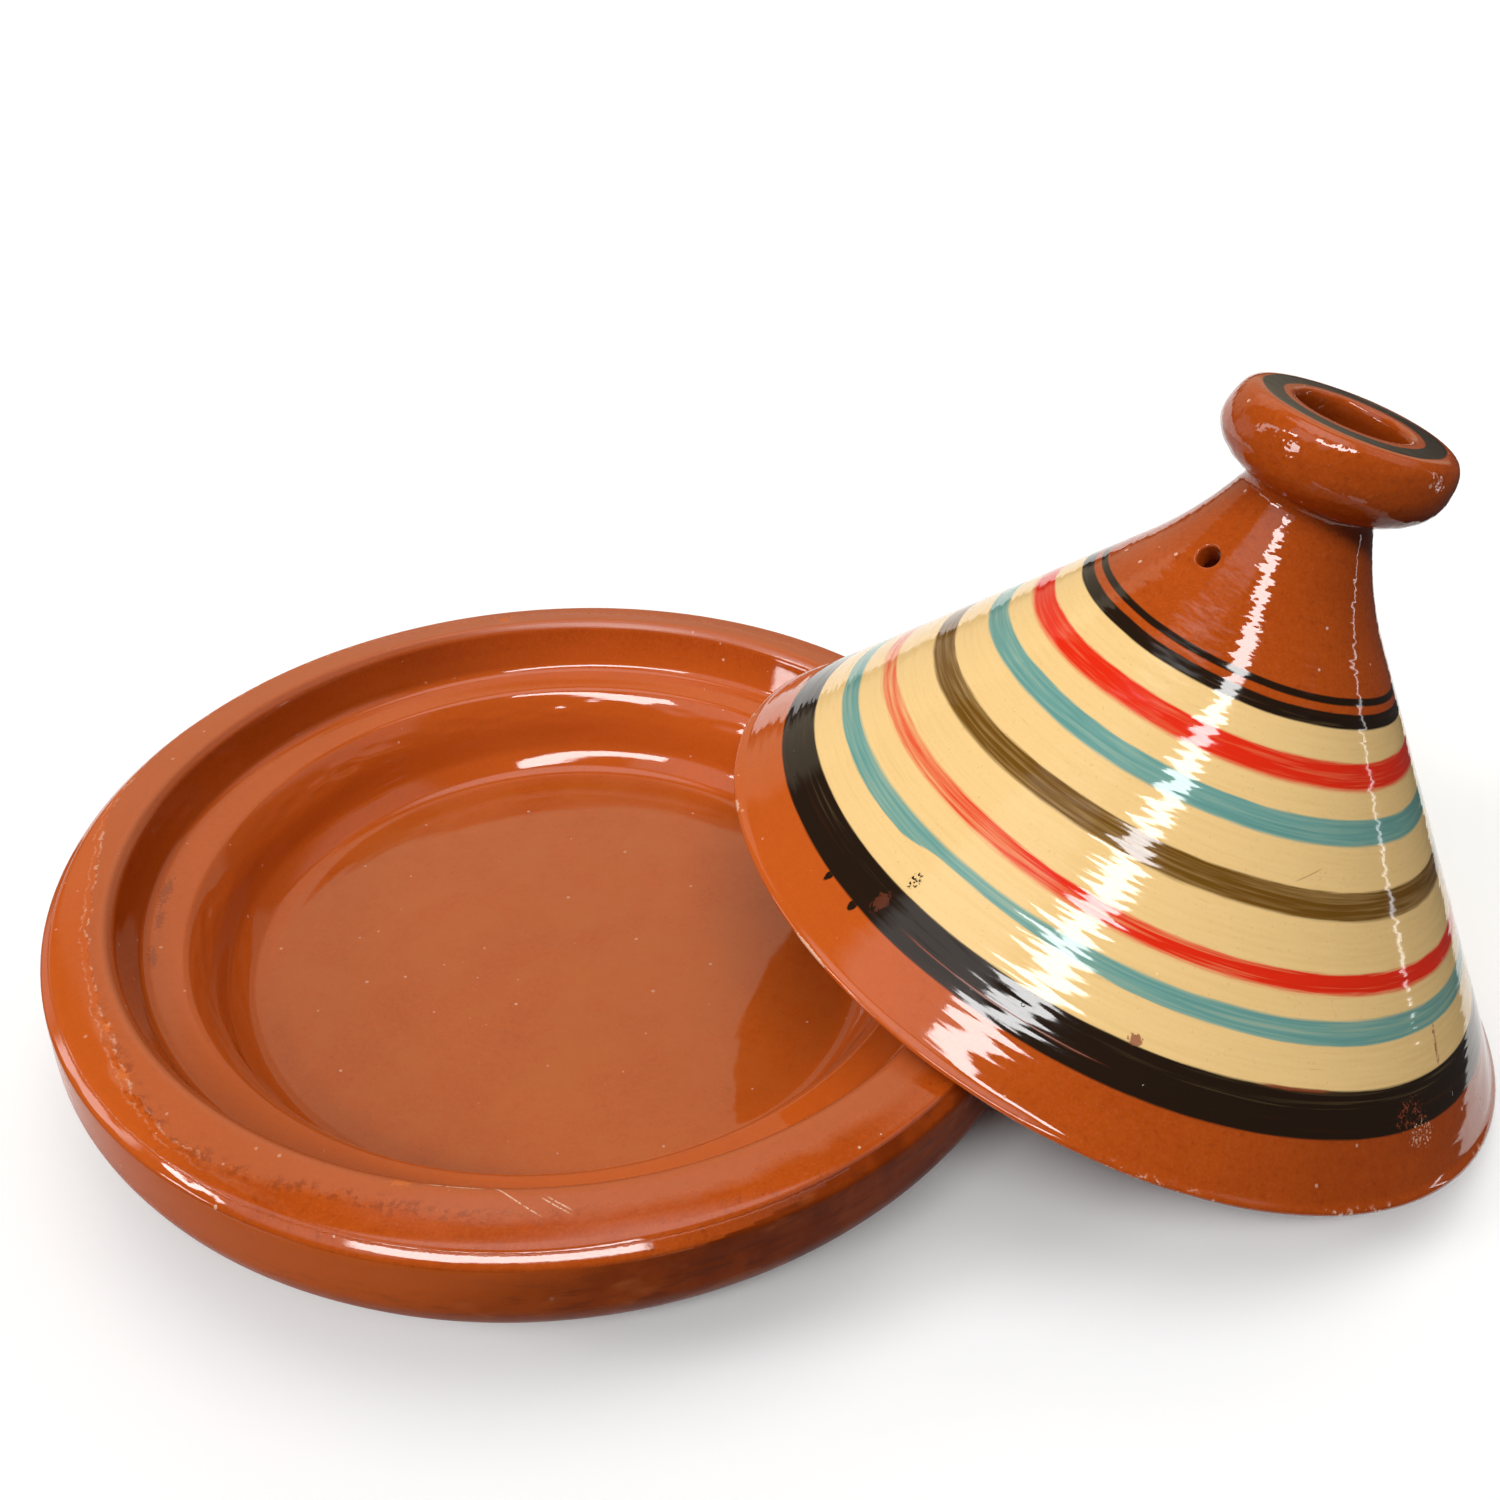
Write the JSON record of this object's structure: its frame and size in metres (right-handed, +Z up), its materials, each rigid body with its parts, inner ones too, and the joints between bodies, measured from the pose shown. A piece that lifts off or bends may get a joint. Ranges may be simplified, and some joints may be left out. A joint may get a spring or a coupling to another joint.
{
  "type": "tagine",
  "caption": "Glazed earthenware tagine: a low round dish with a lid gallery, and its tall conical lid with painted bands, hollow knob and steam hole, leaning on the rim.",
  "frame": {"origin": "centre of the dish's flat foot, on the surface it stands on", "axes": "+Z up along the dish's axis, +X from the dish's axis towards the lid, which leans in the XZ plane"},
  "size_m": [0.4394, 0.3, 0.1984],
  "materials": {
    "dish_glaze": "clear gloss glaze over terracotta",
    "lid_glaze": "clear gloss glaze over terracotta with painted cream, red, teal, brown and black bands"
  },
  "bodies": {
    "dish": {"dish": "dish_glaze"},
    "lid": {"lid": "lid_glaze"}
  },
  "joints": [
    {"name": "lid_lift", "type": "slide", "parent": "dish", "child": "lid", "axis": [0, 0, 1], "range_m": [0, 0.15]}
  ]
}
